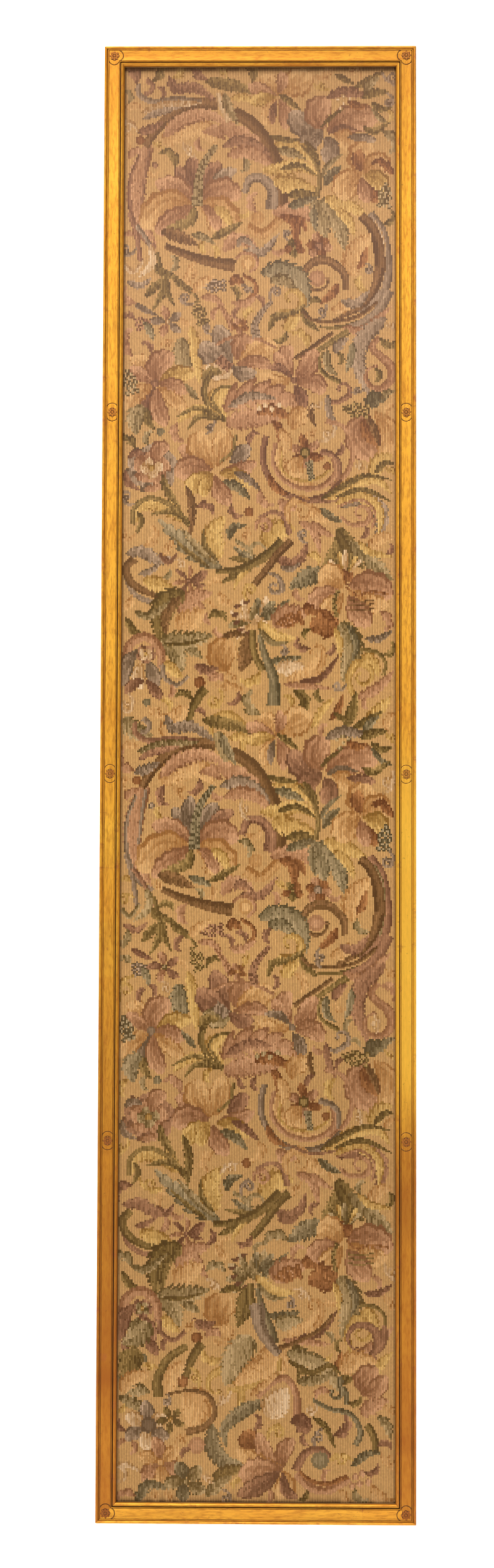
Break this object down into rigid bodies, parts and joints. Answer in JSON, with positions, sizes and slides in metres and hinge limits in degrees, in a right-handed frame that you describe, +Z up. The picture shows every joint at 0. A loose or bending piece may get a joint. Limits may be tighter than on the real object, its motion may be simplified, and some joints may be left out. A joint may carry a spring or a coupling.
{
  "type": "framed tapestry panel in gilt picture frame",
  "caption": "Tall narrow wool tapestry panel with scrolling acanthus leaves and flowers, held flat in a mitred gilt moulding frame with carved rosettes.",
  "frame": {"origin": "middle of the top rail's back face, where the panel meets the wall", "axes": "+Z up along the panel's height, +X to the right across its width, +Y into the wall; the front faces -Y"},
  "size_m": [0.45, 0.028, 2.107],
  "materials": {
    "ribbed_wool": "matt ribbed wool in faded tan, brown, plum, pink, olive and blue-grey",
    "gilded_wood": "wood with burnished gold leaf, rubbed at the edges",
    "toned_gilding": "carved gilt wood toned red-brown in its hollows"
  },
  "bodies": {
    "root": {"tapestry": "ribbed_wool", "rail_top": "gilded_wood", "rail_bottom": "gilded_wood", "stile_left": "gilded_wood", "stile_right": "gilded_wood", "rosette_left_1": "toned_gilding", "rosette_left_2": "toned_gilding", "rosette_left_3": "toned_gilding", "rosette_left_4": "toned_gilding", "rosette_left_5": "toned_gilding", "rosette_right_1": "toned_gilding", "rosette_right_2": "toned_gilding", "rosette_right_3": "toned_gilding", "rosette_right_4": "toned_gilding", "rosette_right_5": "toned_gilding"}
  },
  "joints": []
}
